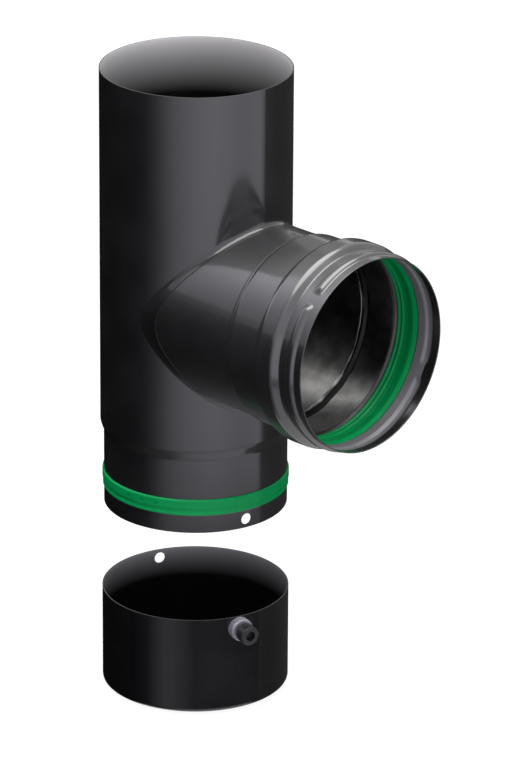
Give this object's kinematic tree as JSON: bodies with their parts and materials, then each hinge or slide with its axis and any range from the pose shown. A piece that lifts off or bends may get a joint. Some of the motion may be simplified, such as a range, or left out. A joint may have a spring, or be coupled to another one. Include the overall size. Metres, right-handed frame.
{
  "type": "stove pipe tee",
  "caption": "Flue tee: plain run tube, side branch with a gasketed push-fit socket, gasketed lower spigot, and a removable inspection cap with a locking screw.",
  "frame": {"origin": "crossing of the centre lines of the run tube and the branch", "axes": "+Z along the run tube towards its plain upper end, +X along the branch out of its socket"},
  "size_m": [0.141, 0.087, 0.2727],
  "materials": {
    "painted_steel": "satin black stove paint outside, bare steel inside",
    "green_silicone": "smooth moulded silicone",
    "bare_zinc": "bare zinc plate",
    "black_screw_steel": "black oxide"
  },
  "bodies": {
    "tee": {"run_tube": "painted_steel", "branch_neck": "painted_steel", "branch_socket": "painted_steel", "branch_gasket": "green_silicone", "spigot_gasket": "green_silicone"},
    "cap": {"cap_shell": "painted_steel", "cap_nut": "bare_zinc"},
    "screw": {"cap_screw": "black_screw_steel"}
  },
  "joints": [
    {"name": "cap_slide", "type": "slide", "parent": "tee", "child": "cap", "axis": [0, 0, 1], "range_m": [0, 0.0719], "deforming": ["spigot_gasket"]},
    {"name": "screw_slide", "type": "slide", "parent": "cap", "child": "screw", "axis": [0.9568, -0.2907, 0], "range_m": [-0.0016, 0.0015]}
  ]
}
